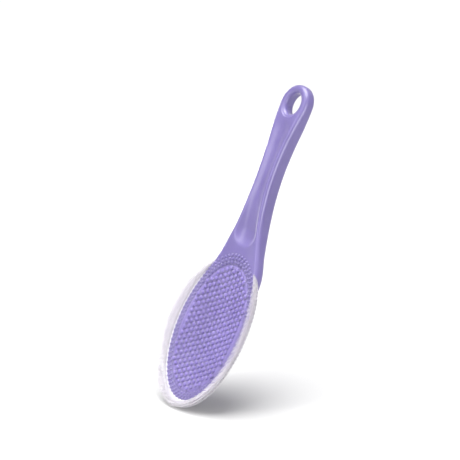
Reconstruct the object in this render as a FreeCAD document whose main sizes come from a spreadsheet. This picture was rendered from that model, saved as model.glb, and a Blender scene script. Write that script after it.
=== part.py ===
import FreeCAD, Part
import math
import os
import Sketcher
from FreeCAD import Placement, Rotation, Vector

# Long-handled silicone scrub brush, in millimetres.
# +Z runs up the handle, the nubbed face looks along -Y, and the origin is the centre of the hanging hole.
# In the sheet a "front" or a "mid" is a distance forward of the origin, so it lies at minus Y.

os.makedirs("parts", exist_ok=True)
doc = FreeCAD.newDocument("scrub_brush")

SIZES = {
    # hanging eye at the top of the handle
    "eye_radius": 15.7,
    "bore_radius": 8.1,
    "bore_round": 2.9,
    # rounding of the handle's edges, and the most of a section's depth that it may take
    "edge_round": 4.0,
    "corner_share": 0.42,
    # head: an ellipse that leans forward towards its tip
    "head_drop": 183.5,
    "head_front": 0.3,
    "head_lean": 3.0,
    "rim_half_width": 40.0,
    "rim_half_height": 60.4,
    "rim_depth": 2.2,
    "dome_inset": 1.5,
    "dome_depth": 8.0,
    # seat of the massage pad, and the groove round the pad
    "seat_inset": 6.8,
    "seat_depth": 5.2,
    "groove_width": 1.2,
    "groove_depth": 1.8,
    "pad_below_rim": 0.6,
    "dish_depth": 3.3,
    "pad_land": 0.8,
    # moulded nubs of the pad
    "nub_pitch": 4.7,
    "nub_radius": 1.65,
    "nub_height": 2.4,
    "nub_taper": 0.8,
    "nub_root": 0.8,
    "nub_margin": 1.9,
    # translucent collar: its bristles splay out past its flange
    "flange_width": 3.2,
    "collar_width": 5.0,
    "bristle_height": 5.2,
    "bristle_inset": 0.5,
    "tongue_reach": 1.6,
    "tongue_depth": 0.9,
    "collar_top_drop": 128.5,
    # thumb recess on the front of the neck
    "thumb_drop": 89.5,
    "thumb_half_width": 13.0,
    "thumb_half_height": 27.0,
    "thumb_half_depth": 7.0,
    "thumb_centre_front": 8.4,
    "thumb_lean": 8.0,
    # rigid core
    "core_ring_radius": 13.0,
    "core_ring_hole": 10.4,
    "core_ring_depth": 4.0,
    "core_edge_round": 0.8,
    "core_plate_depth": 1.6,
    "core_plate_inset": 19.0,
    "key_hole_radius": 2.0,
    "key_hole_step": 10.0,
    "key_hole_edge": 4.0,
    # how far a cutting form reaches past the face it cuts
    "past": 1.0,
}

# Sections of the handle from the eye to the head: drop below the origin, width, depth and mid.
HANDLE_SECTIONS = {
    "eye": (0.0, 31.4, 10.4, -0.3),
    "shoulder": (15.4, 28.0, 12.4, -0.3),
    "grip": (31.0, 23.5, 13.2, -0.4),
    "waist": (54.0, 20.5, 13.5, -0.9),
    "pinch": (77.0, 22.5, 13.6, -2.1),
    "neck": (100.0, 30.0, 13.0, -3.9),
    "flare": (118.5, 42.0, 10.6, -4.9),
    "root": (134.5, 53.5, 9.2, -6.0),
    "blend": (156.0, 59.0, 4.0, -4.2),
}

# Sections of the core's spine, on the same terms.
SPINE_SECTIONS = {
    "spine_top": (11.5, 10.0, 4.0, -0.4),
    "spine_waist": (54.0, 10.0, 4.0, -1.2),
    "spine_thumb": (80.0, 11.0, 3.6, -3.2),
    "spine_neck": (108.0, 14.0, 3.0, -6.0),
    "spine_root": (128.0, 18.0, 1.8, -8.9),
    "spine_foot": (152.0, 20.0, 1.4, -7.5),
}

SECTION_COLUMNS = ("drop", "width", "depth", "mid")
SHEET = "sizes"

# The dish is the end of an ellipsoid this many times as wide as the pad.
DISH_SCALE = 3
PAD_INSET = "($seat_inset + $groove_width + $pad_land)"
DISH_HALF_WIDTH = f"{DISH_SCALE} * ($rim_half_width - {PAD_INSET})"
DISH_HALF_HEIGHT = f"{DISH_SCALE} * ($rim_half_height - {PAD_INSET})"
DISH_HALF_DEPTH = f"$dish_depth / (1 - sqrt(1 - 1 / {DISH_SCALE} ^ 2))"

# Turns an ellipse drawn in XY so that its long axis runs up the head and it extrudes backwards.
UP_THE_HEAD = Rotation(Vector(1, 1, 1), -120)

# Turns the seam of a nub off the lines of the grid, so that it crosses no edge of the dish.
SEAM_TURN = 45


def fill_sheet():
    """Writes every driving dimension to the sheet, one aliased cell a row."""
    page = doc.addObject("Spreadsheet::Sheet", SHEET)
    rows = dict(SIZES)
    for name, values in {**HANDLE_SECTIONS, **SPINE_SECTIONS}.items():
        for column, value in zip(SECTION_COLUMNS, values):
            rows[f"{name}_{column}"] = value
    for row, (alias, value) in enumerate(rows.items(), start=1):
        page.set(f"A{row}", alias)
        page.set(f"B{row}", str(value))
        page.setAlias(f"B{row}", alias)
    doc.recompute()
    return page


sheet = fill_sheet()


def size(alias):
    """The sheet's value for one driving dimension."""
    return float(sheet.get(alias))


def bind(thing, expressions):
    """Binds properties to expressions, in which $ before an alias stands for the sheet."""
    for path, expression in expressions.items():
        thing.setExpression(path, expression.replace("$", f"{SHEET}."))


def origin_plane(body, role):
    """One of the body's own origin planes or axes."""
    return next(f for f in body.Origin.OriginFeatures if f.Role == role)


def sketch_on(body, name, plane):
    """An empty sketch on one of the body's origin planes."""
    sketch = body.newObject("Sketcher::SketchObject", name)
    sketch.AttachmentSupport = (origin_plane(body, plane), [""])
    sketch.MapMode = "FlatFace"
    return sketch


def rounded_section(body, name, corner):
    """A rounded rectangle across the handle, centred on its own point of the mid line."""
    sketch = sketch_on(body, name, "XY_Plane")
    bind(sketch, {
        "AttachmentOffset.Base.y": f"-${name}_mid",
        "AttachmentOffset.Base.z": f"-${name}_drop",
    })
    half_w = size(f"{name}_width") / 2
    half_d = size(f"{name}_depth") / 2
    r = min(size(corner), size("corner_share") * size(f"{name}_depth"))
    flat_w = half_w - r
    flat_d = half_d - r
    corners = [(flat_w, -flat_d), (flat_w, flat_d), (-flat_w, flat_d), (-flat_w, -flat_d)]
    starts = [(-flat_w, -half_d), (half_w, -flat_d), (flat_w, half_d), (-half_w, flat_d)]
    ends = [(flat_w, -half_d), (half_w, flat_d), (-flat_w, half_d), (-half_w, -flat_d)]
    for start, end in zip(starts, ends):
        sketch.addGeometry(Part.LineSegment(Vector(*start, 0), Vector(*end, 0)), False)
    for turn, centre in enumerate(corners):
        circle = Part.Circle(Vector(*centre, 0), Vector(0, 0, 1), r)
        begin = (turn - 1) * math.pi / 2
        sketch.addGeometry(Part.ArcOfCircle(circle, begin, begin + math.pi / 2), False)
    rules = []
    for side in range(4):
        arc = 4 + side
        following = (side + 1) % 4
        rules.append(Sketcher.Constraint("Tangent", side, 2, arc, 1))
        rules.append(Sketcher.Constraint("Tangent", arc, 2, following, 1))
    rules.append(Sketcher.Constraint("Vertical", 1))
    rules += [Sketcher.Constraint("Equal", 4, arc) for arc in (5, 6, 7)]
    rules.append(Sketcher.Constraint("Symmetric", 0, 1, 0, 2, -2))
    rules.append(Sketcher.Constraint("Symmetric", 0, 1, 2, 1, -1, 1))
    sketch.addConstraint(rules)
    across = sketch.addConstraint(Sketcher.Constraint("DistanceX", 3, 1, 1, 1, 2 * half_w))
    deep = sketch.addConstraint(Sketcher.Constraint("DistanceY", 0, 1, 2, 1, 2 * half_d))
    round_off = sketch.addConstraint(Sketcher.Constraint("Radius", 4, r))
    bind(sketch, {
        f"Constraints[{across}]": f"${name}_width",
        f"Constraints[{deep}]": f"${name}_depth",
        f"Constraints[{round_off}]": f"min(${corner}; $corner_share * ${name}_depth)",
    })
    return sketch


def lofted_bar(name, sections, corner):
    """A body lofted through rounded sections from top to bottom."""
    body = doc.addObject("PartDesign::Body", name)
    sketches = [rounded_section(body, section, corner) for section in sections]
    loft = body.newObject("PartDesign::AdditiveLoft", f"{name}_loft")
    loft.Profile = sketches[0]
    loft.Sections = sketches[1:]
    body.Tip = loft
    return body


def add_eye(body):
    """The rounded end of the handle, which is half a disc on top of the first section."""
    sketch = sketch_on(body, "eye_profile", "XY_Plane")
    bind(sketch, {"AttachmentOffset.Base.y": "-$eye_mid"})
    radius = size("eye_radius")
    half = size("eye_depth") / 2
    r = size("edge_round")
    outline = [
        (0, -half),
        (radius - r, -half),
        (radius, r - half),
        (radius, half - r),
        (radius - r, half),
        (0, half),
    ]
    points = [Vector(x, y, 0) for x, y in outline]
    for first, second in ((0, 1), (2, 3), (4, 5), (5, 0)):
        sketch.addGeometry(Part.LineSegment(points[first], points[second]), False)
    front_arc = Part.Circle(Vector(radius - r, r - half, 0), Vector(0, 0, 1), r)
    back_arc = Part.Circle(Vector(radius - r, half - r, 0), Vector(0, 0, 1), r)
    sketch.addGeometry(Part.ArcOfCircle(front_arc, -math.pi / 2, 0), False)
    sketch.addGeometry(Part.ArcOfCircle(back_arc, 0, math.pi / 2), False)
    sketch.addConstraint([
        Sketcher.Constraint("Tangent", 0, 2, 4, 1),
        Sketcher.Constraint("Tangent", 4, 2, 1, 1),
        Sketcher.Constraint("Tangent", 1, 2, 5, 1),
        Sketcher.Constraint("Tangent", 5, 2, 2, 1),
        Sketcher.Constraint("Coincident", 2, 2, 3, 1),
        Sketcher.Constraint("Coincident", 3, 2, 0, 1),
        Sketcher.Constraint("Equal", 4, 5),
        Sketcher.Constraint("Symmetric", 0, 1, 2, 2, -1, 1),
        Sketcher.Constraint("Vertical", 1),
    ])
    deep = sketch.addConstraint(Sketcher.Constraint("DistanceY", 0, 1, 2, 2, 2 * half))
    reach = sketch.addConstraint(Sketcher.Constraint("DistanceX", -1, 1, 1, 1, radius))
    round_off = sketch.addConstraint(Sketcher.Constraint("Radius", 4, r))
    bind(sketch, {
        f"Constraints[{deep}]": "$eye_depth",
        f"Constraints[{reach}]": "$eye_radius",
        f"Constraints[{round_off}]": "$edge_round",
    })
    eye = body.newObject("PartDesign::Revolution", "eye_end")
    eye.Profile = sketch
    eye.ReferenceAxis = (sketch, ["V_Axis"])
    eye.Angle = 180
    body.Tip = eye
    doc.recompute()
    if eye.Shape.BoundBox.ZMax < radius / 2:
        eye.Reversed = True
        doc.recompute()


def add_bore(body):
    """The hanging hole: a straight wall between two rounded mouths."""
    sketch = sketch_on(body, "bore_profile", "XY_Plane")
    bind(sketch, {"AttachmentOffset.Base.y": "-$eye_mid"})
    r = size("bore_radius")
    q = size("bore_round")
    half = size("eye_depth") / 2
    beyond = half + q
    outline = [
        (0, -beyond),
        (r + q, -beyond),
        (r + q, -half),
        (r, q - half),
        (r, half - q),
        (r + q, half),
        (r + q, beyond),
        (0, beyond),
    ]
    points = [Vector(x, y, 0) for x, y in outline]
    for first, second in ((0, 1), (1, 2), (3, 4), (5, 6), (6, 7), (7, 0)):
        sketch.addGeometry(Part.LineSegment(points[first], points[second]), False)
    front_mouth = Part.Circle(Vector(r + q, q - half, 0), Vector(0, 0, 1), q)
    back_mouth = Part.Circle(Vector(r + q, half - q, 0), Vector(0, 0, 1), q)
    sketch.addGeometry(Part.ArcOfCircle(front_mouth, math.pi, 1.5 * math.pi), False)
    sketch.addGeometry(Part.ArcOfCircle(back_mouth, math.pi / 2, math.pi), False)
    sketch.addConstraint([
        Sketcher.Constraint("Coincident", 0, 2, 1, 1),
        Sketcher.Constraint("Coincident", 1, 2, 6, 2),
        Sketcher.Constraint("Tangent", 6, 1, 2, 1),
        Sketcher.Constraint("Tangent", 2, 2, 7, 2),
        Sketcher.Constraint("Coincident", 7, 1, 3, 1),
        Sketcher.Constraint("Coincident", 3, 2, 4, 1),
        Sketcher.Constraint("Coincident", 4, 2, 5, 1),
        Sketcher.Constraint("Coincident", 5, 2, 0, 1),
        Sketcher.Constraint("Vertical", 1),
        Sketcher.Constraint("Vertical", 2),
        Sketcher.Constraint("Vertical", 3),
        Sketcher.Constraint("Vertical", 5),
        Sketcher.Constraint("Horizontal", 0),
        Sketcher.Constraint("Horizontal", 4),
        Sketcher.Constraint("Equal", 6, 7),
        Sketcher.Constraint("Symmetric", 0, 1, 5, 1, -1, 1),
        Sketcher.Constraint("Symmetric", 1, 2, 3, 1, -1),
    ])
    wall = sketch.addConstraint(Sketcher.Constraint("DistanceX", -1, 1, 2, 1, r))
    deep = sketch.addConstraint(Sketcher.Constraint("DistanceY", 1, 2, 3, 1, 2 * half))
    mouth = sketch.addConstraint(Sketcher.Constraint("Radius", 6, q))
    bind(sketch, {
        f"Constraints[{wall}]": "$bore_radius",
        f"Constraints[{deep}]": "$eye_depth",
        f"Constraints[{mouth}]": "$bore_round",
    })
    before = body.Tip.Shape.Volume
    bore = body.newObject("PartDesign::Groove", "hanging_bore")
    bore.Profile = sketch
    bore.ReferenceAxis = (sketch, ["V_Axis"])
    bore.Angle = 360
    body.Tip = bore
    doc.recompute()
    if not bore.Shape.Volume < before - math.pi * r * r * (half - q):
        raise RuntimeError("the hanging hole cuts nothing")


def head_rotation():
    """The lean of the head's own frame, in which +Y is straight back through the head."""
    return Rotation(Vector(1, 0, 0), -size("head_lean"))


def set_in_head(thing, front, turn=Rotation()):
    """Places something on the head's centre line, the expression front ahead of the rim's face."""
    thing.Placement = Placement(Vector(), head_rotation() * turn)
    bind(thing, {
        "Placement.Base.y": f"-$head_front - ({front}) * cos($head_lean * 1deg)",
        "Placement.Base.z": f"-$head_drop + ({front}) * sin($head_lean * 1deg)",
    })


def elliptical_plate(name, inset, front, depth):
    """A flat elliptical plate set in from the rim, from its front face backwards."""
    outline = doc.addObject("Part::Ellipse", f"{name}_outline")
    bind(outline, {
        "MajorRadius": f"$rim_half_height - ({inset})",
        "MinorRadius": f"$rim_half_width - ({inset})",
    })
    set_in_head(outline, front, UP_THE_HEAD)
    plate = doc.addObject("Part::Extrusion", name)
    plate.Base = outline
    plate.DirMode = "Custom"
    plate.Dir = head_rotation().multVec(Vector(0, 1, 0))
    plate.Solid = True
    bind(plate, {"LengthFwd": depth})
    return plate


def ellipsoid(name, half_width, half_height, half_depth):
    """An ellipsoid whose half axes are given by expressions."""
    form = doc.addObject("Part::Ellipsoid", name)
    form.Angle1 = -90
    form.Angle2 = 90
    form.Angle3 = 360
    bind(form, {"Radius1": half_height, "Radius2": half_width, "Radius3": half_depth})
    return form


def cut(name, base, tool):
    result = doc.addObject("Part::Cut", name)
    result.Base = base
    result.Tool = tool
    return result


def fuse(name, shapes):
    result = doc.addObject("Part::MultiFuse", name)
    result.Shapes = shapes
    return result


def make_handle_form():
    """The handle and neck: one loft, closed by the rounded eye and pierced by the hanging hole."""
    body = lofted_bar("handle_form", HANDLE_SECTIONS, "edge_round")
    doc.recompute()
    add_eye(body)
    add_bore(body)
    return body


def make_core():
    """The rigid core: a ring round the hole, a tapering spine and a plate keyed by holes."""
    spine = lofted_bar("core_spine", SPINE_SECTIONS, "core_edge_round")
    rings = []
    for name, radius, depth in (
        ("core_ring_outside", "$core_ring_radius", "$core_ring_depth"),
        ("core_ring_inside", "$core_ring_hole", "2 * $core_ring_depth"),
    ):
        ring = doc.addObject("Part::Cylinder", name)
        ring.Placement = Placement(Vector(), Rotation(Vector(1, 0, 0), 90))
        bind(ring, {"Radius": radius, "Height": depth, "Placement.Base.y": f"-$eye_mid + {depth} / 2"})
        rings.append(ring)
    plate = elliptical_plate("core_plate", "$core_plate_inset", "-$seat_depth", "$core_plate_depth")
    form = fuse("core_form", [spine, rings[0], plate])
    holes = fuse("core_holes", [rings[1], *key_holes()])
    return cut("stiffening_core", form, holes)


def key_holes():
    """Through holes of the core's plate, which the rubber flows through, on a staggered grid."""
    step = size("key_hole_step")
    row_height = step * math.sqrt(3) / 2
    half_width = size("rim_half_width") - size("core_plate_inset") - size("key_hole_edge")
    half_height = size("rim_half_height") - size("core_plate_inset") - size("key_hole_edge")
    rows = int(half_height / row_height)
    columns = int(half_width / step) + 1
    holes = []
    for row in range(-rows, rows + 1):
        offset = step / 2 if row % 2 else 0
        for column in range(-columns, columns + 1):
            x = column * step + offset
            z = row * row_height
            if math.hypot(x / half_width, z / half_height) > 1:
                continue
            hole = doc.addObject("Part::Cylinder", f"key_hole_{len(holes) + 1}")
            bind(hole, {"Radius": "$key_hole_radius", "Height": "3 * $core_plate_depth"})
            local = Vector(x, size("seat_depth") + 2 * size("core_plate_depth"), z)
            centre = Vector(0, -size("head_front"), -size("head_drop")) + head_rotation().multVec(local)
            hole.Placement = Placement(centre, head_rotation() * Rotation(Vector(1, 0, 0), 90))
            holes.append(hole)
    return holes


def make_collar(handle_form):
    """The soft ring round the head: a flange, a low wall of bristles and a hidden tongue."""
    flange = cut(
        "collar_flange",
        elliptical_plate("flange_outside", "-$flange_width", "0", "$rim_depth"),
        elliptical_plate("flange_inside", "0", "$past", "$rim_depth + 2 * $past"),
    )
    wall = cut(
        "collar_wall",
        elliptical_plate("wall_outside", "-$collar_width", "$bristle_height", "$bristle_height"),
        elliptical_plate(
            "wall_inside", "-$bristle_inset", "$bristle_height + $past", "$bristle_height + 2 * $past"
        ),
    )
    tongue = cut(
        "collar_tongue",
        elliptical_plate("tongue_outside", "0", "-($rim_depth - $tongue_depth) / 2", "$tongue_depth"),
        elliptical_plate("tongue_inside", "$tongue_reach", "0", "$rim_depth"),
    )
    # a block over everything above the collar's upper ends
    gap = doc.addObject("Part::Box", "collar_gap")
    bind(gap, {
        "Length": "4 * $rim_half_width",
        "Width": "4 * $rim_half_width",
        "Height": "$collar_top_drop",
        "Placement.Base.x": "-2 * $rim_half_width",
        "Placement.Base.y": "-2 * $rim_half_width",
        "Placement.Base.z": "-$collar_top_drop",
    })
    whole = fuse("collar_ring", [flange, wall, tongue])
    return cut("bristle_collar", whole, fuse("collar_break", [handle_form, gap]))


def make_skin(handle_form, core, collar):
    """The rubber skin of the handle and head, hollowed for the core, the pad and the collar's tongue."""
    rim = elliptical_plate("head_rim", "0", "0", "$rim_depth")
    dome = ellipsoid(
        "head_dome", "$rim_half_width - $dome_inset", "$rim_half_height - $dome_inset", "$dome_depth"
    )
    dome.Angle3 = 180
    set_in_head(dome, "-$rim_depth")
    recess = ellipsoid("thumb_recess", "$thumb_half_width", "$thumb_half_height", "$thumb_half_depth")
    recess.Placement = Placement(Vector(), Rotation(Vector(1, 0, 0), size("thumb_lean")))
    bind(recess, {"Placement.Base.y": "-$thumb_centre_front", "Placement.Base.z": "-$thumb_drop"})
    seat = elliptical_plate("pad_seat", "$seat_inset", "$seat_depth", "2 * $seat_depth")
    recessed = cut("recessed_handle", handle_form, recess)
    outside = fuse("skin_form", [recessed, rim, dome])
    seated = cut("skin_seated", outside, seat)
    keyed = cut("skin_keyed", seated, collar)
    return cut("handle_skin", keyed, core)


def make_pad():
    """The massage pad: a stepped elliptical plate with a dished face."""
    top_front = "-$pad_below_rim"
    base_front = f"{top_front} - $groove_depth"
    base = elliptical_plate("pad_base", "$seat_inset", base_front, f"$seat_depth + {base_front}")
    top = elliptical_plate(
        "pad_top", "$seat_inset + $groove_width", top_front, f"$seat_depth + {top_front}"
    )
    dish = ellipsoid("pad_dish", DISH_HALF_WIDTH, DISH_HALF_HEIGHT, DISH_HALF_DEPTH)
    set_in_head(dish, f"-$pad_below_rim - $dish_depth + {DISH_HALF_DEPTH}")
    plain_pad = cut("plain_pad", fuse("pad_form", [base, top]), dish)
    doc.recompute()
    nubs = doc.addObject("Part::Feature", "pad_nubs")
    nubs.Shape = pad_nubs(dish)
    centre = Vector(0, -size("head_front"), -size("head_drop"))
    nubs.Placement = Placement(centre, head_rotation())
    return fuse("massage_pad", [plain_pad, nubs])


def nub_shape():
    """One nub: a tapered post with a round tip, rooted a little below the pad's face."""
    tip = size("nub_radius") * size("nub_taper")
    shoulder = size("nub_height") - tip
    root = Vector(size("nub_radius"), 0, -size("nub_root"))
    edge = Vector(tip, 0, shoulder)
    top = Vector(0, 0, size("nub_height"))
    bottom = Vector(0, 0, -size("nub_root"))
    middle = Vector(tip * math.sqrt(0.5), 0, shoulder + tip * math.sqrt(0.5))
    outline = [
        Part.LineSegment(bottom, root).toShape(),
        Part.LineSegment(root, edge).toShape(),
        Part.Arc(edge, middle, top).toShape(),
        Part.LineSegment(top, bottom).toShape(),
    ]
    post = Part.Face(Part.Wire(outline)).revolve(Vector(), Vector(0, 0, 1), 360)
    post.rotate(Vector(), Vector(0, 0, 1), SEAM_TURN)
    post.rotate(Vector(), Vector(1, 0, 0), 90)
    return post


def pad_nubs(dish):
    """Every nub of the pad, on a hexagonal grid over the dished face, in the head's frame."""
    pitch = size("nub_pitch")
    column_step = pitch * math.sqrt(3) / 2
    inset = size("seat_inset") + size("groove_width") + size("nub_margin")
    half_width = size("rim_half_width") - inset
    half_height = size("rim_half_height") - inset
    dish_width = float(dish.Radius2)
    dish_height = float(dish.Radius1)
    dish_reach = float(dish.Radius3)
    floor = -size("pad_below_rim") - size("dish_depth")
    columns = int(half_width / column_step)
    rows = int(half_height / pitch) + 1
    post = nub_shape()
    posts = []
    for column in range(-columns, columns + 1):
        x = column * column_step
        offset = pitch / 2 if column % 2 else 0
        for row in range(-rows, rows + 1):
            z = row * pitch + offset
            if math.hypot(x / half_width, z / half_height) > 1:
                continue
            rise = dish_reach * (1 - math.sqrt(1 - (x / dish_width) ** 2 - (z / dish_height) ** 2))
            nub = post.copy()
            nub.translate(Vector(x, -(floor + rise), z))
            posts.append(nub)
    return Part.makeCompound(posts)


def check_and_export(parts):
    """Stops at any failed object, then writes each sub-part to its own STEP file."""
    doc.recompute()
    failed = [thing.Name for thing in doc.Objects if {"Invalid", "Error"} & set(thing.State)]
    if failed:
        raise RuntimeError(f"these objects failed: {failed}")
    for part in parts:
        part.Label = part.Name
        shape = part.Shape
        if shape.isNull() or not shape.isValid():
            raise RuntimeError(f"{part.Label} has no valid shape")
        shape.exportStep(f"parts/{part.Label}.step")
        print(part.Label, len(shape.Solids), round(shape.Volume))


handle_form = make_handle_form()
core = make_core()
collar = make_collar(handle_form)
skin = make_skin(handle_form, core, collar)
pad = make_pad()
check_and_export([core, skin, pad, collar])
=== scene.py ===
import math

import bpy
import numpy as np
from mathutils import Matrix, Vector


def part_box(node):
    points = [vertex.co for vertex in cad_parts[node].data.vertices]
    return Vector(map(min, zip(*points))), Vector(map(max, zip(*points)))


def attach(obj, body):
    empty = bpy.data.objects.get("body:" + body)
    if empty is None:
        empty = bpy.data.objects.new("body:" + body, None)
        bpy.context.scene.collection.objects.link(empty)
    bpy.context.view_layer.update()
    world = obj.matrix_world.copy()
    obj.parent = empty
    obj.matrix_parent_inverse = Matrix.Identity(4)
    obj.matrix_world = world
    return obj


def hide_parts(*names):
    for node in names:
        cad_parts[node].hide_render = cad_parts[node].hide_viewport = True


# Looks of a long-handled silicone scrub brush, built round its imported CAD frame.
# Shapes are worked out in millimetres as (x, front, up): front is minus Y of the row frame, up is Z.

MM = 0.001

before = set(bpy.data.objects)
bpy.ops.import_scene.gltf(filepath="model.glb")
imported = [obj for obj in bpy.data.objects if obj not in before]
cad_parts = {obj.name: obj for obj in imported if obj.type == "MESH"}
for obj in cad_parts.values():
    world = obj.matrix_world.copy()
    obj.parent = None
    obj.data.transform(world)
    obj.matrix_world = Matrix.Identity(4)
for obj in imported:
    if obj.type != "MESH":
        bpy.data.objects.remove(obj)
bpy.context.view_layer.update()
skin_low, skin_high = (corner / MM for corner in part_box("handle_skin"))
collar_low, collar_high = (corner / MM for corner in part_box("bristle_collar"))

# ---------------------------------------------------------------- handle sizes

# Sections of the handle from the eye to the head: drop below the hole, width, depth from face to
# back, and how far forward the middle of that depth lies.
HANDLE_SECTIONS = np.array([
    (0.0, 31.4, 10.4, -0.3),
    (15.4, 28.0, 12.4, -0.3),
    (31.0, 23.5, 13.2, -0.4),
    (54.0, 20.5, 13.5, -0.9),
    (77.0, 22.5, 13.6, -2.1),
    (100.0, 30.0, 13.0, -3.9),
    (118.5, 42.0, 10.6, -4.9),
    (134.5, 53.5, 9.2, -6.0),
    (156.0, 59.0, 4.0, -4.2),
])
DROPS, WIDTHS, DEPTHS, MIDS = HANDLE_SECTIONS.T
# The long edges are rounded by this much, or by a share of the depth where that is less.
EDGE_ROUND = 4.0
CORNER_SHARE = 0.42
EYE_RADIUS = skin_high.z

# The hanging hole.
BORE_HALF_WIDTH = 7.8
BORE_HALF_HEIGHT = 8.8
BORE_ROUND = 2.9

# The shallow trough down the face, which starts below the eye.
TROUGH_DEPTH = 2.0
TROUGH_MARGIN = 2.2
TROUGH_TOP_DROP = 9.0
TROUGH_FADE = 15.0

# The thumb recess at the neck, as wide as the trough.
THUMB_TOP_DROP = 58.0
THUMB_DEEP_DROP = 103.0
THUMB_LIP_LENGTH = 16.0
THUMB_DEPTH = 4.8
THUMB_DEEPENING = 1.8
THUMB_WALL = 0.95

# ---------------------------------------------------------------- head sizes

HEAD_DROP = 183.5
HEAD_FRONT = 0.3
HEAD_LEAN = math.radians(3.0)
RIM_HALF_WIDTH = skin_high.x
RIM_HALF_HEIGHT = (-skin_low.z - HEAD_DROP) / math.cos(HEAD_LEAN)
RIM_DEPTH = 2.2
RIM_ROUND = 0.9
DOME_INSET = 1.5
DOME_DEPTH = 8.0

# Fillet sizes where forms meet.
NECK_BLEND = 5.0
DOME_BLEND = 2.5
FACE_BLEND = 1.2
SEAT_BLEND = 0.5

# The groove round the pad lies further in at the top than at the sides and the tip.
SEAT_HALF_WIDTH = RIM_HALF_WIDTH - 6.0
SEAT_TOP_INSET = 8.8
SEAT_TIP_INSET = 6.9
SEAT_HALF_HEIGHT = RIM_HALF_HEIGHT - (SEAT_TOP_INSET + SEAT_TIP_INSET) / 2
SEAT_SHIFT = (SEAT_TIP_INSET - SEAT_TOP_INSET) / 2
SEAT_EDGE_DEPTH = 2.3
SEAT_DISH = 3.3
GROOVE_DEPTH = 0.6
GROOVE_HALF_WIDTH = 2.0
BORDER_FALL = 0.09
BORDER_RISE = 0.20

# The pad laps over the seat's edge by a little and stands clear of its floor.
PAD_LAP = 0.45
PAD_LIFT = 0.15
PAD_FACE = -0.06
PAD_DISH = 3.2
DISH_END = 1.06
# Rings of the pad's mesh: on its face, near its edge and on its underside, from share to share.
PAD_SIDES = 200
PAD_MIDDLE = 0.02
PAD_EDGE_START = 0.9
PAD_FACE_RINGS = 24
PAD_EDGE_RINGS = 16
PAD_FLOOR_RINGS = 12

# ---------------------------------------------------------------- nub sizes

NUB_PITCH = 4.7
NUB_RADIUS = 1.65
NUB_HEIGHT = 1.6
NUB_MARGIN = 1.4
NUB_SIDES = 20
# Half profile of a moulded nub: share of its radius, share of its height.
NUB_PROFILE = (
    (1.36, -0.12),
    (1.16, 0.03),
    (1.03, 0.14),
    (0.97, 0.34),
    (0.91, 0.58),
    (0.82, 0.78),
    (0.64, 0.92),
    (0.36, 0.99),
)

# Rows of oval nubs on the border, as shares of the way from the rim to the seat's edge.
BORDER_ROWS = (0.17, 0.49, 0.80)
BORDER_PITCH = 3.8
BORDER_NUB_ACROSS = 1.0
BORDER_NUB_SHARE = 0.135
BORDER_NUB_HEIGHT = 1.15
BORDER_NUB_SIDES = 14
# Where the border is narrow its nubs are narrower and lower, by these powers of its room.
BORDER_NARROWING = 0.5
BORDER_LOWERING = 2.5

# ---------------------------------------------------------------- collar sizes

COLLAR_WIDTH = collar_high.x - skin_high.x
COLLAR_END_ALONG = HEAD_DROP + collar_high.z
COLLAR_END_ANGLE = math.acos(-COLLAR_END_ALONG / RIM_HALF_HEIGHT)
COLLAR_FADE = math.radians(40.0)
COLLAR_END_SHARE = 0.12
FLANGE_WIDTH = 0.45 * COLLAR_WIDTH
FLANGE_STEP = 1.1
# The flange's section: share of its width past the rim, and out of the face in millimetres.
FLANGE_FRONT = (
    (0.0, -0.15),
    (0.3, -0.22),
    (0.6, -0.42),
    (0.85, -0.68),
    (0.97, -0.92),
    (1.0, -1.2),
)
FLANGE_BACK = (
    (0.97, -1.48),
    (0.85, -1.72),
    (0.6, -1.9),
    (0.3, -2.05),
    (0.0, -2.1),
)
# The tongue that reaches into the head's edge, and how far out of the face its two edges lie.
TONGUE = 1.4
TONGUE_OUT = (-1.7, -0.9)

BRISTLE_LENGTH = 7.6
BRISTLE_RADIUS = 0.29
BRISTLE_PITCH = 1.05
# Rows of bristles: share of the flange's width, tilt towards the front in degrees, share of the full length.
BRISTLE_ROWS = (
    (0.10, 62.0, 0.84),
    (0.42, 51.0, 0.97),
    (0.74, 40.0, 0.95),
    (1.00, 22.0, 0.56),
)
# A bristle's rings: share of its length, share of its radius.
BRISTLE_TAPER = np.array([
    (0.0, 1.1),
    (0.3, 1.0),
    (0.6, 0.97),
    (0.85, 0.93),
    (0.97, 0.7),
])
BRISTLE_SIDES = 7
BRISTLE_BEND = math.radians(10.0)
BRISTLE_SEED = 7
ROOT_DEPTH = 0.2
TILT_SPREAD = math.radians(2.0)
LENGTH_SPREAD = 0.03
# The short barbs on the flange's outer edge.
BARB_PLACE = 0.9
BARB_TILT = 6.0
BARB_PITCH = 3.3
BARB_LENGTH = 2.7
BARB_RADIUS = 0.5

# ---------------------------------------------------------------- mesh quality

SKIN_STEP = 0.55
RELAX_SHARE = 0.6
SLOPE_STEP = 0.05
FINE_STATIONS = 2001

# ---------------------------------------------------------------- colours and lights

SKIN_LOOK = {
    "low": (0.124, 0.098, 0.266),
    "high": (0.150, 0.121, 0.306),
    "roughness": 0.37,
    "glow": 0.45,
    "gloss": 0.8,
}
# The pad is the same lilac silicone as the skin, painted lighter: painted light that lifts the shade among
# its nubs.
PAD_PAINTED_LIGHT_LOOK = {
    "low": (0.168, 0.135, 0.330),
    "high": (0.194, 0.158, 0.368),
    "roughness": 0.42,
    "glow": 0.8,
    "gloss": 0.2,
}
FLANGE_LOOK = {
    "low": (0.66, 0.63, 0.71),
    "high": (0.72, 0.69, 0.76),
}
# The bristles' colour is painted: lighter than the flange, as painted light against the shade between them,
# and darker towards the tips by tip, as painted shade where the top light falls.
BRISTLE_PAINTED_SHADING_LOOK = {
    "low": (0.74, 0.705, 0.77),
    "high": (0.80, 0.765, 0.82),
    "tip": 0.56,
}
CORE_LOW = (0.50, 0.47, 0.62)
CORE_HIGH = (0.58, 0.55, 0.70)
SILICONE_IOR = 1.41
CLOUD_START = 0.25
CLOUD_END = 0.75

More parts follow.
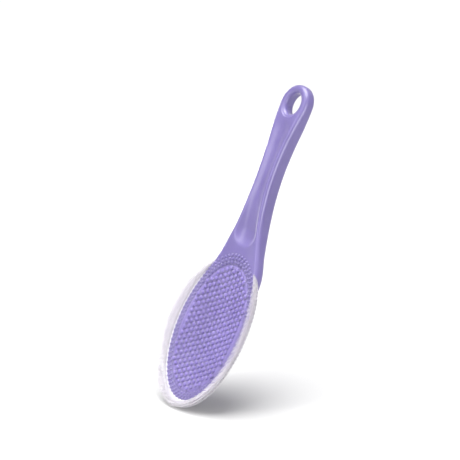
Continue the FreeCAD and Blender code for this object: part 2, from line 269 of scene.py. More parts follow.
# The camera looks at the brush from the front and right, and is rolled so that the handle leans.
CAMERA_AZIMUTH = math.radians(50.0)
CAMERA_ROLL = math.radians(21.34)
CAMERA_DISTANCE = 1.5
CAMERA_LENS = 152.5
CAMERA_BACK = Vector((math.sin(CAMERA_AZIMUTH), -math.cos(CAMERA_AZIMUTH), 0))
LEVEL = Vector((math.cos(CAMERA_AZIMUTH), math.sin(CAMERA_AZIMUTH), 0))
RIGHT = LEVEL * math.cos(CAMERA_ROLL) + Vector((0, 0, math.sin(CAMERA_ROLL)))
UP = Vector((0, 0, math.cos(CAMERA_ROLL))) - LEVEL * math.sin(CAMERA_ROLL)
HANDLE_AXIS = Vector((0, 0, 1))
OBJECT_MIDDLE = Vector((0, 0, -0.1167))
AIM_LEFT = 0.00885
AIM_ABOVE = 0.0123

# The floor, in metres: it slopes down towards the camera and passes just below the brush's tip.
FLOOR_TILT = math.radians(15.0)
FLOOR_HALF = 12.0
FLOOR_GAP = 0.002
FLOOR_TIP_BEHIND = 0.004
FLOOR_GREY = 0.5

# Directions towards the lights, as amounts of the camera's right, up and back. A strip light
# stands as many metres off as its direction is long.
TOP_LIGHT = (-0.12, 0.95, 0.25)
TOP_POWER = 4.9
TOP_ANGLE = math.radians(50.0)
# Strip lights: name, power, direction, and the light's own width and length in metres.
STRIPS = (
    ("rim_strip", 6.0, (-0.35, 0.14, -0.93), 0.10, 0.9),
    ("side_strip", 3.8, (-0.80, 0.31, 0.51), 0.08, 0.9),
    ("front_strip", 34.0, (0.384, -0.144, 2.352), 0.40, 1.2),
)
STUDIO_STRENGTH = 0.55


# ---------------------------------------------------------------- fields and surface

def smooth_union(a, b, blend):
    """The nearer of two distance fields, with a fillet where they meet."""
    h = np.clip(0.5 + 0.5 * (b - a) / blend, 0, 1)
    return b + (a - b) * h - blend * h * (1 - h)


def smooth_cut(solid, tool, blend):
    """A solid with a tool's shape taken out of it, and the edge between them softened."""
    return -smooth_union(-solid, tool, blend)


def smooth_overlap(a, b, blend):
    """What two solids share, with the edge between them softened."""
    return -smooth_union(-a, -b, blend)


def ease(t):
    """A rise from 0 to 1 that starts and ends level."""
    return t * t * (3 - 2 * t)


def through(stations, values, at):
    """A smooth curve through values at stations, level past the last ones."""
    slopes = np.gradient(values, stations)
    slopes[0] = slopes[-1] = 0
    i = np.clip(np.searchsorted(stations, at) - 1, 0, len(stations) - 2)
    span = stations[i + 1] - stations[i]
    t = np.clip((at - stations[i]) / span, 0, 1)
    rise = (3 - 2 * t) * t * t
    start = t * (1 - t) ** 2 * span
    end = t * t * (t - 1) * span
    return values[i] * (1 - rise) + values[i + 1] * rise + slopes[i] * start + slopes[i + 1] * end


def rounded_box(a, b, half_a, half_b, radius):
    """Distance to a rectangle with rounded corners in the plane of a and b."""
    qa = np.abs(a) - (half_a - radius)
    qb = np.abs(b) - (half_b - radius)
    outside = np.hypot(np.maximum(qa, 0), np.maximum(qb, 0))
    return outside + np.minimum(np.maximum(qa, qb), 0) - radius


def ellipsoid_distance(coordinates, half_axes):
    """Near enough the distance to an ellipse or ellipsoid about the origin."""
    tiny = 1e-4
    share = sum((c / h) ** 2 for c, h in zip(coordinates, half_axes)) + tiny
    slope = sum((c / h ** 2) ** 2 for c, h in zip(coordinates, half_axes)) + tiny / half_axes[0] ** 2
    share = np.sqrt(share)
    return share * (share - 1) / np.sqrt(slope)


def head_coordinates(front, up):
    """The head's own frame: along its long axis, and out of its face."""
    rise = up + HEAD_DROP
    ahead = front - HEAD_FRONT
    along = rise * math.cos(HEAD_LEAN) - ahead * math.sin(HEAD_LEAN)
    out = ahead * math.cos(HEAD_LEAN) + rise * math.sin(HEAD_LEAN)
    return along, out


def from_head(x, along, out):
    """Points (x, front, up) from the head's own frame."""
    front = HEAD_FRONT + out * math.cos(HEAD_LEAN) - along * math.sin(HEAD_LEAN)
    up = -HEAD_DROP + along * math.cos(HEAD_LEAN) + out * math.sin(HEAD_LEAN)
    return np.stack(np.broadcast_arrays(x, front, up), axis=-1)


def thumb_depth(across, drop):
    """How deep the thumb recess lies below the face: a scoop that deepens down to a rounded lip."""
    below = np.maximum(drop - THUMB_DEEP_DROP, 0)
    share = across ** 2 + (below / THUMB_LIP_LENGTH) ** 2
    slope = np.clip((drop - THUMB_TOP_DROP) / (THUMB_DEEP_DROP - THUMB_TOP_DROP), 0, 1)
    return THUMB_DEPTH * slope ** THUMB_DEEPENING * ease(np.clip((1 - share) / THUMB_WALL, 0, 1))


def handle_field(x, front, up):
    """The handle: a bar through its sections, hollowed down its face, and a round eye."""
    drop = -up
    half_w = through(DROPS, WIDTHS, drop) / 2
    half_d = through(DROPS, DEPTHS, drop) / 2
    ahead = front - through(DROPS, MIDS, drop)
    radius = np.minimum(EDGE_ROUND, CORNER_SHARE * 2 * half_d)
    fade = np.clip((drop - TROUGH_TOP_DROP) / TROUGH_FADE, 0, 1)
    across = np.clip(x / (half_w - TROUGH_MARGIN), -1, 1)
    trough = TROUGH_DEPTH * ease(fade) * (1 - across ** 2) ** 2
    hollow = np.hypot(trough, thumb_depth(across, drop)) * (ahead > 0)
    bar = rounded_box(x, ahead + hollow, half_w, half_d, radius)
    bar = np.maximum(bar, np.maximum(up, drop - DROPS[-1]))
    eye = rounded_box(np.hypot(x, up), front - MIDS[0], EYE_RADIUS, DEPTHS[0] / 2, EDGE_ROUND)
    return np.minimum(bar, eye)


def head_field(x, along, out):
    """The head before its seat is cut: an oval plate with a rounded rim, and a dome behind it."""
    edge = ellipsoid_distance((x, along), (RIM_HALF_WIDTH, RIM_HALF_HEIGHT))
    fall = BORDER_FALL * np.clip(edge + SEAT_TOP_INSET, 0, SEAT_TOP_INSET)
    middle = RIM_DEPTH / 2
    ahead = out + middle + fall * (out > -middle)
    past_side = edge + RIM_ROUND
    past_face = np.abs(ahead) - (middle - RIM_ROUND)
    plate = np.hypot(np.maximum(past_side, 0), np.maximum(past_face, 0))
    plate = plate + np.minimum(np.maximum(past_side, past_face), 0) - RIM_ROUND
    dome_axes = (RIM_HALF_WIDTH - DOME_INSET, RIM_HALF_HEIGHT - DOME_INSET, DOME_DEPTH)
    dome = ellipsoid_distance((x, along, out + RIM_DEPTH), dome_axes)
    dome = np.maximum(dome, out + middle)
    return smooth_union(plate, dome, DOME_BLEND)


def out_of_face():
    """The direction straight out of the head's face, as (x, front, up)."""
    return from_head(0.0, 0.0, 1.0) - from_head(0.0, 0.0, 0.0)


def seat_edge(x, along):
    """Distance in the head's plane to the edge of the pad's seat, negative inside it."""
    return ellipsoid_distance((x, along - SEAT_SHIFT), (SEAT_HALF_WIDTH, SEAT_HALF_HEIGHT))


def seat_share(x, along):
    """Square of the distance from the seat's centre, as a share of the way to its edge."""
    return (x / SEAT_HALF_WIDTH) ** 2 + ((along - SEAT_SHIFT) / SEAT_HALF_HEIGHT) ** 2


def seat_floor(x, along):
    """How far out the dished floor of the pad's seat lies."""
    return -SEAT_EDGE_DEPTH - SEAT_DISH * np.clip(1 - seat_share(x, along), 0, 1)


def groove_fall(edge):
    """How far the face falls away into the soft groove that follows the seat's edge."""
    near = np.clip(1 - (edge / GROOVE_HALF_WIDTH) ** 2, 0, 1)
    return GROOVE_DEPTH * near * near


def border_height(edge):
    """The highest the face may stand beside the groove: it rises away from it."""
    return BORDER_RISE * np.maximum(edge, 0) - groove_fall(edge)


def seat_field(x, along, out):
    """The hollow that holds the pad."""
    return np.maximum(seat_edge(x, along), seat_floor(x, along) - out)


def bore_field(x, front, up):
    """The hanging hole: a straight wall between two rounded mouths."""
    past = np.abs(front - MIDS[0]) - (DEPTHS[0] / 2 - BORE_ROUND)
    past = np.clip(past, 0, BORE_ROUND)
    mouth = BORE_ROUND - np.sqrt(BORE_ROUND ** 2 - past ** 2)
    return ellipsoid_distance((x, up), (BORE_HALF_WIDTH, BORE_HALF_HEIGHT)) - mouth


def skin_field(points):
    """Signed distance to the silicone skin, negative inside it."""
    x, front, up = points
    along, out = head_coordinates(front, up)
    solid = smooth_union(handle_field(x, front, up), head_field(x, along, out), NECK_BLEND)
    solid = smooth_overlap(solid, out - border_height(seat_edge(x, along)), FACE_BLEND)
    solid = smooth_cut(solid, seat_field(x, along, out), SEAT_BLEND)
    return np.maximum(solid, -bore_field(x, front, up))


def field_slope(field, points):
    """Gradient of a field at each point, by central differences."""
    slope = []
    for axis in range(3):
        ahead = points.copy()
        behind = points.copy()
        ahead[axis] += SLOPE_STEP
        behind[axis] -= SLOPE_STEP
        slope.append((field(ahead) - field(behind)) / (2 * SLOPE_STEP))
    return np.array(slope)


def settle(field, points, rounds):
    """Moves points along the slope, at most 1 mm a round, until they lie on the field's surface."""
    least_steepness = 0.05
    for _ in range(rounds):
        slope = field_slope(field, points)
        steepness = np.maximum((slope ** 2).sum(0), least_steepness)
        points = points - slope * np.clip(field(points) / steepness, -1, 1)
    return points


def relax(points, faces, share):
    """Moves each point towards the middle of its neighbours."""
    total = np.zeros_like(points)
    count = np.zeros(points.shape[1])
    for a, b in ((0, 1), (1, 2), (2, 3), (3, 0)):
        for first, second in ((faces[:, a], faces[:, b]), (faces[:, b], faces[:, a])):
            for axis in range(3):
                total[axis] += np.bincount(first, points[axis][second], len(count))
            count += np.bincount(first, minlength=len(count))
    return points + share * (total / count - points)


def net_faces(inside, index):
    """Quads round every grid edge that crosses the surface, facing outwards."""
    faces = []
    for axis in range(3):
        order = (axis, (axis + 1) % 3, (axis + 2) % 3)
        solid = inside.transpose(order)
        cell = index.transpose(order)
        low = solid[:-1, 1:-1, 1:-1]
        high = solid[1:, 1:-1, 1:-1]
        i, j, k = np.nonzero(low != high)
        corners = [cell[i, j, k], cell[i, j + 1, k], cell[i, j + 1, k + 1], cell[i, j, k + 1]]
        ring = np.stack(corners, axis=1)
        outward = low[i, j, k]
        faces.append(np.where(outward[:, None], ring, ring[:, ::-1]))
    return np.concatenate(faces)


def corners_inside(inside):
    """For each cell of a grid, how many of its eight corners lie inside the solid."""
    a, b, c = (size - 1 for size in inside.shape)
    return sum(
        inside[i:a + i, j:b + j, k:c + k].astype(np.int8)
        for i in (0, 1) for j in (0, 1) for k in (0, 1)
    )


def surface_of(field, low, high, step):
    """A closed quad mesh of the field's surface inside a box."""
    axes = [np.arange(a - 2 * step, b + 3 * step, step) for a, b in zip(low, high)]
    grid = np.meshgrid(*axes, indexing="ij", sparse=True)
    inside = field(grid) < 0
    corners = corners_inside(inside)
    cells = np.nonzero((corners > 0) & (corners < 8))
    index = np.full(corners.shape, -1)
    index[cells] = np.arange(len(cells[0]))
    points = np.array([axis[cell] + step / 2 for axis, cell in zip(axes, cells)])
    faces = net_faces(inside, index)
    points = settle(field, points, 3)
    for _ in range(3):
        points = settle(field, relax(points, faces, RELAX_SHARE), 1)
    return settle(field, points, 2).T, faces


# ---------------------------------------------------------------- meshes

def to_row(points):
    """Points (x, front, up) in millimetres to metres in the row frame."""
    points = np.asarray(points, float)
    return np.stack([points[..., 0], -points[..., 1], points[..., 2]], axis=-1) * MM


def new_object(name, points, faces, material, body="root"):
    """A smooth-shaded mesh object that rides on a CAD body.

    to_row mirrors the points, so each face is turned round to look outwards again.
    """
    mesh = bpy.data.meshes.new(name)
    mesh.from_pydata(to_row(points).tolist(), [], [list(map(int, face))[::-1] for face in faces])
    mesh.validate()
    mesh.update()
    mesh.polygons.foreach_set("use_smooth", [True] * len(mesh.polygons))
    mesh.materials.append(material)
    thing = bpy.data.objects.new(name, mesh)
    bpy.context.scene.collection.objects.link(thing)
    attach(thing, body)
    return thing


def ring_faces(rings, around):
    """Faces of a closed form: its points are those of the rings, then the first end's and the last end's."""
    first_end = rings * around
    last_end = first_end + 1
    last = (rings - 1) * around
    faces = []
    for ring in range(rings - 1):
        low = ring * around
        for i in range(around):
            j = (i + 1) % around
            faces.append((low + i, low + j, low + around + j, low + around + i))
    for i in range(around):
        j = (i + 1) % around
        faces.append((first_end, j, i))
        faces.append((last_end, last + i, last + j))
    return faces


def turned_round(faces):
    """The same faces, each looking the other way."""
    return [face[::-1] for face in faces]


def repeated(shape_points, shape_faces):
    """Joins many copies of one shape: shape_points is copies by points by 3."""
    copies, size, _ = shape_points.shape
    faces = [tuple(copy * size + v for v in face) for copy in range(copies) for face in shape_faces]
    return shape_points.reshape(-1, 3), faces


def unit(vectors):
    """Vectors made one long."""
    return vectors / np.linalg.norm(vectors, axis=-1, keepdims=True)


def circle_angles(sides):
    """Even angles round a circle."""
    return np.linspace(0, 2 * math.pi, sides, endpoint=False)


def even_angles(line, angles, pitch, closed):
    """Angles whose points lie evenly, about a pitch apart, along a line that is given at fine angles."""
    length = np.concatenate([[0], np.cumsum(np.linalg.norm(np.diff(line, axis=0), axis=1))])
    count = round(length[-1] / pitch) + (0 if closed else 1)
    return np.interp(np.linspace(0, length[-1], count, endpoint=not closed), length, angles)


def nub_copies(bases, normals, across, half_across, half_along, height, sides):
    """Moulded nubs: one per base point, up its normal, with their longer way square to across."""
    normals = unit(normals)
    height = np.broadcast_to(height, len(bases))[:, None]
    across = unit(across - (across * normals).sum(-1, keepdims=True) * normals)
    along = np.cross(normals, across)
    turn = circle_angles(sides)
    wide = np.broadcast_to(half_across, len(bases))[:, None] * across
    long = np.broadcast_to(half_along, len(bases))[:, None] * along
    flat = np.cos(turn)[:, None] * wide[:, None] + np.sin(turn)[:, None] * long[:, None]
    rings = []
    for share, rise in NUB_PROFILE:
        rings.append(bases[:, None] + share * flat + (rise * height * normals)[:, None])
    root = (bases + NUB_PROFILE[0][1] * height * normals)[:, None]
    tip = (bases + height * normals)[:, None]
    shape = np.concatenate([*rings, root, tip], axis=1)
    return repeated(shape, ring_faces(len(NUB_PROFILE), sides))


# ---------------------------------------------------------------- skin and its border

def front_of_skin(x, along):
    """Points on the front of the skin over places in the head's plane, and their normals.

    Each point starts well out of the face and comes in by most of its distance to the skin, many times.
    """
    start_out = 14.0
    rounds = 60
    caution = 0.7
    out = np.full(np.shape(x), start_out)
    for _ in range(rounds):
        points = from_head(x, along, out).T
        out = out - caution * skin_field(points)
    points = from_head(x, along, out).T
    return points.T, unit(field_slope(skin_field, points).T)


def border_row(row, share):
    """One row of nubs round the border: x, along, the way across each nub, and its half length."""
    half_width = RIM_HALF_WIDTH + (SEAT_HALF_WIDTH - RIM_HALF_WIDTH) * share
    half_height = RIM_HALF_HEIGHT + (SEAT_HALF_HEIGHT - RIM_HALF_HEIGHT) * share
    fine = np.linspace(0, 2 * math.pi, FINE_STATIONS)
    line = np.stack([half_width * np.sin(fine), -half_height * np.cos(fine)], axis=-1)
    angle = even_angles(line, fine, BORDER_PITCH, closed=True)
    if row % 2:
        angle = angle + (angle[1] - angle[0]) / 2
    x = half_width * np.sin(angle)
    along = SEAT_SHIFT * share - half_height * np.cos(angle)
    across = np.stack([half_width * np.cos(angle), 0 * angle, half_height * np.sin(angle)], axis=-1)
    side_room = RIM_HALF_WIDTH - SEAT_HALF_WIDTH
    end_room = np.where(along > 0, SEAT_TOP_INSET, SEAT_TIP_INSET)
    room = side_room + (end_room - side_room) * np.cos(angle) ** 2
    return x, along, across, room * BORDER_NUB_SHARE


def border_nubs():
    """Rows of oval nubs that follow the rim, staggered from row to row."""
    rows = [border_row(row, share) for row, share in enumerate(BORDER_ROWS)]
    x, along, across, half_along = (np.concatenate(parts) for parts in zip(*rows))
    bases, normals = front_of_skin(x, along)
    room = half_along / half_along.max()
    half_across = BORDER_NUB_ACROSS * room ** BORDER_NARROWING
    height = BORDER_NUB_HEIGHT * room ** BORDER_LOWERING
    return nub_copies(bases, normals, across, half_across, half_along, height, BORDER_NUB_SIDES)


def make_skin(material):
    """The silicone skin with its border nubs, in place of the CAD skin."""
    low = (skin_low.x, -skin_high.y, skin_low.z)
    high = (skin_high.x, -skin_low.y, skin_high.z)
    step = SKIN_STEP
    points, faces = surface_of(skin_field, low, high, step)
    skin = new_object("silicone_skin", points, faces, material)
    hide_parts("handle_skin")
    nubs = new_object("border_nubs", *border_nubs(), material)


# ---------------------------------------------------------------- pad

def pad_height(x, along):
    """How far out the pad's face lies: dished, with a flat land round its edge."""
    dish = PAD_DISH * np.clip(1 - DISH_END * seat_share(x, along), 0, 1)
    return PAD_FACE - dish - groove_fall(seat_edge(x, along))


def pad_floor(x, along):
    """How far out the pad's underside lies, just clear of the seat's floor."""
    return seat_floor(x, along) + PAD_LIFT


def pad_mesh(half_width, half_height):
    """The pad's closed form: rings from the middle of its face, round its edge, to its middle below."""
    turn = circle_angles(PAD_SIDES)
    face_shares = np.concatenate([
        np.linspace(PAD_MIDDLE, PAD_EDGE_START, PAD_FACE_RINGS),
        np.linspace(PAD_EDGE_START, 1, PAD_EDGE_RINGS)[1:],
    ])
    floor_shares = np.linspace(1, PAD_MIDDLE, PAD_FLOOR_RINGS)
    rings = []
    for shares, height in ((face_shares, pad_height), (floor_shares, pad_floor)):
        for share in shares:
            x = half_width * share * np.cos(turn)
            along = SEAT_SHIFT + half_height * share * np.sin(turn)
            rings.append(from_head(x, along, height(x, along)))
    count = len(rings)
    middle = np.zeros(1)
    for height in (pad_height, pad_floor):
        rings.append(from_head(middle, middle + SEAT_SHIFT, height(middle, SEAT_SHIFT)))
    return np.concatenate(rings), ring_faces(count, PAD_SIDES)


def pad_nubs(half_width, half_height):
    """A hexagonal field of round nubs whose rows run up the head."""
    column_step = NUB_PITCH * math.sqrt(3) / 2
    reach = NUB_MARGIN + NUB_RADIUS / 2
    places = []
    columns = int(half_width / column_step) + 1
    rows = int(half_height / NUB_PITCH) + 2
    for column in range(-columns, columns + 1):
        offset = NUB_PITCH / 2 if column % 2 else 0
        for row in range(-rows, rows + 1):
            x = column * column_step
            z = row * NUB_PITCH + offset
            if math.hypot(x / (half_width - reach), z / (half_height - reach)) < 1:
                places.append((x, SEAT_SHIFT + z))
    x, along = np.array(places).T
    bases = from_head(x, along, pad_height(x, along))
    normals = np.broadcast_to(out_of_face(), bases.shape)
    across = np.broadcast_to(np.array([1.0, 0, 0]), bases.shape)
    return nub_copies(bases, normals, across, NUB_RADIUS, NUB_RADIUS, NUB_HEIGHT, NUB_SIDES)


def make_pad(material):
    """The dished pad with its field of nubs, in place of the CAD pad."""
    half_width = SEAT_HALF_WIDTH + PAD_LAP
    half_height = SEAT_HALF_HEIGHT + PAD_LAP
    pad = new_object("massage_pad_face", *pad_mesh(half_width, half_height), material)
    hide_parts("massage_pad")
    nubs = new_object("massage_nubs", *pad_nubs(half_width, half_height), material)


# ---------------------------------------------------------------- collar

def rim_place(angle, offset, out):
    """A point beside the rim: offset outwards in the head's plane, out of its face."""
    across = np.sin(angle) / RIM_HALF_WIDTH
    down = -np.cos(angle) / RIM_HALF_HEIGHT
    size = np.hypot(across, down)
    x = RIM_HALF_WIDTH * np.sin(angle) + offset * across / size
    along = -RIM_HALF_HEIGHT * np.cos(angle) + offset * down / size
    return from_head(x, along, out)


def collar_angles(pitch):
    """Stations round the rim from one end of the collar to the other, zero at the tip."""
    fine = np.linspace(-COLLAR_END_ANGLE, COLLAR_END_ANGLE, FINE_STATIONS)
    return even_angles(rim_place(fine, 0.0, 0.0), fine, pitch, closed=False)


def collar_share(angle):
    """How much of the collar's full size is left at an angle: it fades into the neck."""
    t = np.clip((COLLAR_END_ANGLE - np.abs(angle)) / COLLAR_FADE, 0, 1)
    return COLLAR_END_SHARE + (1 - COLLAR_END_SHARE) * ease(t)


def flange_mesh():
    """The collar's flange: one section carried round the rim, with a tongue into the head's edge."""
    angles = collar_angles(FLANGE_STEP)
    width = FLANGE_WIDTH * collar_share(angles)
    section = [(width * share, out) for share, out in FLANGE_FRONT + FLANGE_BACK]
    section += [(-TONGUE, out) for out in TONGUE_OUT]
    lines = [rim_place(angles, offset, np.full(angles.shape, out)) for offset, out in section]
    rings = np.array(lines).transpose(1, 0, 2)
    count, around, _ = rings.shape
    points = np.concatenate([rings.reshape(-1, 3), rings[0].mean(0)[None], rings[-1].mean(0)[None]])
    return points, turned_round(ring_faces(count, around))


def bristle_copies(bases, outward, forward, tilt, lengths, radius):
    """Soft tapered bristles that bend forward towards their tips, and each point's share of the length."""
    turn = circle_angles(BRISTLE_SIDES)
    side = unit(np.cross(outward, forward))
    rings = []
    for share, thickness in BRISTLE_TAPER:
        bend = (tilt + BRISTLE_BEND * share)[:, None]
        direction = np.cos(bend) * outward + np.sin(bend) * forward
        normal = np.cross(side, direction)
        centre = bases + share * lengths[:, None] * direction
        circle = np.cos(turn)[None, :, None] * side[:, None] + np.sin(turn)[None, :, None] * normal[:, None]
        rings.append(centre[:, None] + radius * thickness * circle)
    tip = bases + lengths[:, None] * direction
    shape = np.concatenate([*rings, bases[:, None], tip[:, None]], axis=1)
    shares = BRISTLE_TAPER[:, 0]
    reach = np.tile(np.append(np.repeat(shares, BRISTLE_SIDES), (0, 1)), len(bases))
    points, faces = repeated(shape, turned_round(ring_faces(len(shares), BRISTLE_SIDES)))
    return points, faces, reach


def bristle_rows():
    """Each row's share of the flange's width, tilt, length, pitch and radius: bristles, then barbs."""
    rows = []
    for share, tilt, length in BRISTLE_ROWS:
        rows.append((share, tilt, length * BRISTLE_LENGTH, BRISTLE_PITCH, BRISTLE_RADIUS))
    rows.append((BARB_PLACE, BARB_TILT, BARB_LENGTH, BARB_PITCH, BARB_RADIUS))
    return rows


def bristle_mesh():
    """All rows of bristles and barbs on the flange, and each point's share of its bristle's length."""
    rng = np.random.default_rng(BRISTLE_SEED)
    points, faces, reaches = [], [], []
    count = 0
    for row, (share, tilt, length, pitch, radius) in enumerate(bristle_rows()):
        angle = collar_angles(pitch)
        if row % 2:
            angle = (angle[1:] + angle[:-1]) / 2
        size = collar_share(angle)
        out = np.interp(share, *zip(*FLANGE_FRONT))
        bases = rim_place(angle, FLANGE_WIDTH * size * share, np.full(angle.shape, out - ROOT_DEPTH))
        outward = unit(rim_place(angle, 1.0, 0.0) - rim_place(angle, 0.0, 0.0))
        forward = np.broadcast_to(out_of_face(), outward.shape)
        tilts = math.radians(tilt) + rng.normal(0, TILT_SPREAD, len(angle))
        lengths = length * size * (1 + rng.normal(0, LENGTH_SPREAD, len(angle)))
        row_points, row_faces, reach = bristle_copies(bases, outward, forward, tilts, lengths, radius)
        faces += [tuple(v + count for v in face) for face in row_faces]
        count += len(row_points)
        points.append(row_points)
        reaches.append(reach)
    return np.concatenate(points), faces, np.concatenate(reaches)


def make_collar(material, bristle_material):
    """The flange with its rows of soft bristles, in place of the CAD collar."""
    collar = new_object("collar_flange", *flange_mesh(), material)
    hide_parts("bristle_collar")
    points, faces, reach = bristle_mesh()
    bristles = new_object("collar_bristles", points, faces, bristle_material)
    # reach drives the painted shade that darkens each bristle towards its tip.
    bristles.data.attributes.new("reach", "FLOAT", "POINT").data.foreach_set("value", reach)


# ---------------------------------------------------------------- materials

def node_material(name):
    """A new material with its nodes, its links and its main shader."""
    material = bpy.data.materials.new(name)
    material.use_nodes = True
    nodes = material.node_tree.nodes
    return material, nodes, material.node_tree.links, nodes["Principled BSDF"]


def object_noise(nodes, links, scale, detail):
    """Noise fixed to the object, with its scale per metre."""
    place = nodes.new("ShaderNodeTexCoord")
    noise = nodes.new("ShaderNodeTexNoise")
    noise.inputs["Scale"].default_value = scale
    noise.inputs["Detail"].default_value = detail
    links.new(place.outputs["Object"], noise.inputs["Vector"])
    return noise.outputs["Fac"]


def ramp(nodes, links, factor, low, high, start=0.0, end=1.0):
    """A colour ramp between two colours or grey levels."""
    node = nodes.new("ShaderNodeValToRGB")
    node.color_ramp.interpolation = "EASE"
    for element, position, value in zip(node.color_ramp.elements, (start, end), (low, high)):
        element.position = position
        element.color = (*value, 1) if isinstance(value, tuple) else (value, value, value, 1)
    links.new(factor, node.inputs["Fac"])
    return node.outputs["Color"]


def cloud_ramp(nodes, links, cloud, low, high):
    """A ramp over the middle of the noise, where nearly all its values lie."""
    return ramp(nodes, links, cloud, low, high, CLOUD_START, CLOUD_END)


def bump(nodes, links, height, strength, distance):
    """A normal from a height, over a distance in metres."""
    node = nodes.new("ShaderNodeBump")
    node.inputs["Strength"].default_value = strength
    node.inputs["Distance"].default_value = distance
    links.new(height, node.inputs["Height"])
    return node.outputs["Normal"]


def glow_inside(shader, weight, radius, scale):
    """Light that scatters inside silicone: how much, how far in each colour, and a scale in metres."""
    shader.inputs["IOR"].default_value = SILICONE_IOR
    shader.inputs["Subsurface Weight"].default_value = weight
    shader.inputs["Subsurface Radius"].default_value = radius
    shader.inputs["Subsurface Scale"].default_value = scale


def silicone(name, low, high, roughness, glow, gloss):
    """Satin silicone: cloudy colour, uneven gloss and a fine moulded grain."""
    material, nodes, links, shader = node_material(name)
    cloud = object_noise(nodes, links, scale=38.0, detail=3.0)
    grain = object_noise(nodes, links, scale=2600.0, detail=2.0)
    rough = cloud_ramp(nodes, links, cloud, roughness - 0.04, roughness + 0.05)
    links.new(cloud_ramp(nodes, links, cloud, low, high), shader.inputs["Base Color"])
    links.new(rough, shader.inputs["Roughness"])
    links.new(bump(nodes, links, grain, strength=0.12, distance=0.00012), shader.inputs["Normal"])
    glow_inside(shader, glow, radius=(0.9, 0.75, 1.2), scale=0.0035)
    shader.inputs["Sheen Weight"].default_value = 0.5
    shader.inputs["Sheen Roughness"].default_value = 0.25
    shader.inputs["Coat Weight"].default_value = gloss
    shader.inputs["Coat Roughness"].default_value = 0.35
    return material


def clear_silicone(name, low, high, tip=1.0):
    """Milky translucent silicone; tip is how bright a bristle's end is painted beside its root, painted
    shade at the tips against painted light at the roots.
    """
    material, nodes, links, shader = node_material(name)
    cloud = object_noise(nodes, links, scale=120.0, detail=3.0)
    grain = object_noise(nodes, links, scale=3200.0, detail=2.0)
    reach = nodes.new("ShaderNodeAttribute")
    reach.attribute_name = "reach"
    mix = nodes.new("ShaderNodeMix")
    mix.data_type = "RGBA"
    mix.blend_type = "MULTIPLY"
    factor, colour_a, colour_b, mixed = mix.inputs[0], mix.inputs[6], mix.inputs[7], mix.outputs[2]
    factor.default_value = 1.0
    links.new(cloud_ramp(nodes, links, cloud, low, high), colour_a)
    # Painted shade along each bristle: its colour is multiplied down from 1 at the root to tip at the end.
    links.new(ramp(nodes, links, reach.outputs["Fac"], 1.0, tip), colour_b)
    links.new(mixed, shader.inputs["Base Color"])
    links.new(cloud_ramp(nodes, links, cloud, 0.36, 0.46), shader.inputs["Roughness"])
    links.new(bump(nodes, links, grain, strength=0.1, distance=0.0001), shader.inputs["Normal"])
    glow_inside(shader, weight=0.8, radius=(1.0, 0.95, 1.05), scale=0.003)
    return material


def core_plastic():
    """Injection-moulded core: a pale, slightly mottled plastic with a fine texture."""
    material, nodes, links, shader = node_material("core_plastic_moulded")
    cloud = object_noise(nodes, links, scale=60.0, detail=4.0)
    grain = object_noise(nodes, links, scale=2200.0, detail=3.0)
    links.new(ramp(nodes, links, cloud, CORE_LOW, CORE_HIGH), shader.inputs["Base Color"])
    links.new(ramp(nodes, links, cloud, 0.45, 0.6), shader.inputs["Roughness"])
    links.new(bump(nodes, links, grain, strength=0.3, distance=0.0002), shader.inputs["Normal"])
    return material


def dress_core():
    """The CAD core keeps its shape and takes the moulded-plastic material."""
    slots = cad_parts["stiffening_core"].data.materials
    slots.clear()
    slots.append(core_plastic())


# ---------------------------------------------------------------- stage

def seen(right, up, back):
    """A vector from amounts along the camera's right, up and back."""
    return right * RIGHT + up * UP + back * CAMERA_BACK


def turned(thing, right, up, back):
    """Points a camera or light: its own X, Y and Z along right, up and back."""
    columns = [right.normalized(), up.normalized(), back.normalized()]
    matrix = thing.matrix_world.to_3x3()
    for column, vector in enumerate(columns):
        matrix.col[column] = vector
    thing.rotation_mode = "QUATERNION"
    thing.rotation_quaternion = matrix.to_quaternion()


def make_camera():
    """A long lens at the photograph's viewing angle, with no depth of field."""
    data = bpy.data.cameras.new("photo_camera")
    data.lens = CAMERA_LENS
    data.sensor_width = 36
    data.clip_start = 0.05
    data.clip_end = 100
    camera = bpy.data.objects.new("photo_camera", data)
    bpy.context.scene.collection.objects.link(camera)
    aim = OBJECT_MIDDLE - AIM_LEFT * RIGHT + AIM_ABOVE * UP
    camera.location = aim + CAMERA_DISTANCE * CAMERA_BACK
    turned(camera, RIGHT, UP, CAMERA_BACK)
    bpy.context.scene.camera = camera


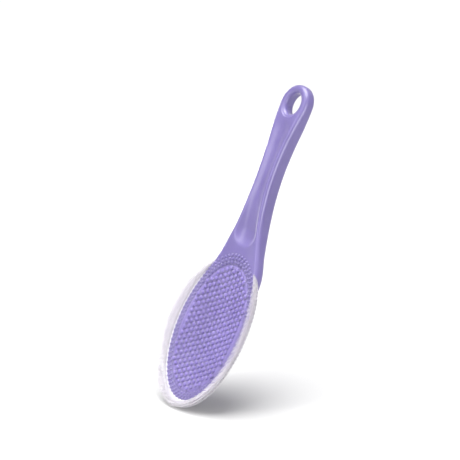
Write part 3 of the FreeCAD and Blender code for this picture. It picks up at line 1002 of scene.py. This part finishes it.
def make_floor():
    """A large pale plane that the tip of the brush stands on."""
    normal = seen(0, math.cos(FLOOR_TILT), math.sin(FLOOR_TILT))
    tip = Vector((0, collar_low.y * MM + FLOOR_TIP_BEHIND, collar_low.z * MM))
    away = normal.cross(RIGHT)
    centre = tip - FLOOR_GAP * normal
    corners = [centre + FLOOR_HALF * (a * RIGHT + b * away) for a, b in ((-1, -1), (1, -1), (1, 1), (-1, 1))]
    mesh = bpy.data.meshes.new("floor")
    mesh.from_pydata([tuple(corner) for corner in corners], [], [(0, 1, 2, 3)])
    material, _, _, shader = node_material("pale_floor")
    shader.inputs["Base Color"].default_value = (FLOOR_GREY, FLOOR_GREY, FLOOR_GREY, 1)
    shader.inputs["Roughness"].default_value = 0.9
    shader.inputs["Specular IOR Level"].default_value = 0.1
    mesh.materials.append(material)
    floor = bpy.data.objects.new("floor", mesh)
    bpy.context.scene.collection.objects.link(floor)


def add_light(name, kind, power, toward):
    """A light of a given kind that shines on the brush from the direction toward."""
    data = bpy.data.lights.new(name, kind)
    data.energy = power
    light = bpy.data.objects.new(name, data)
    bpy.context.scene.collection.objects.link(light)
    light.location = OBJECT_MIDDLE + toward
    side = HANDLE_AXIS.cross(toward)
    turned(light, side, toward.cross(side), toward)
    return data


def make_lights():
    """A soft key from above, and strip lights along the handle, in an evenly white studio."""
    top = add_light("top", "SUN", TOP_POWER, seen(*TOP_LIGHT))
    top.angle = TOP_ANGLE
    for name, power, direction, width, length in STRIPS:
        strip = add_light(name, "AREA", power, seen(*direction))
        strip.shape = "RECTANGLE"
        strip.size = width
        strip.size_y = length
    world = bpy.data.worlds.new("studio")
    world.use_nodes = True
    background = world.node_tree.nodes["Background"]
    background.inputs["Color"].default_value = (1, 1, 1, 1)
    background.inputs["Strength"].default_value = STUDIO_STRENGTH
    bpy.context.scene.world = world
    bpy.context.scene.view_settings.view_transform = "Standard"


# ---------------------------------------------------------------- the scene

make_camera()
make_skin(silicone("lilac_silicone_satin", **SKIN_LOOK))
# The pad's material is a lighter copy of the skin's: painted light on the nub field.
make_pad(silicone("lilac_silicone_pad_painted_light", **PAD_PAINTED_LIGHT_LOOK))
make_collar(
    clear_silicone("clear_silicone_flange", **FLANGE_LOOK),
    clear_silicone("clear_silicone_bristle_painted_shading", **BRISTLE_PAINTED_SHADING_LOOK),
)
dress_core()
make_floor()
make_lights()
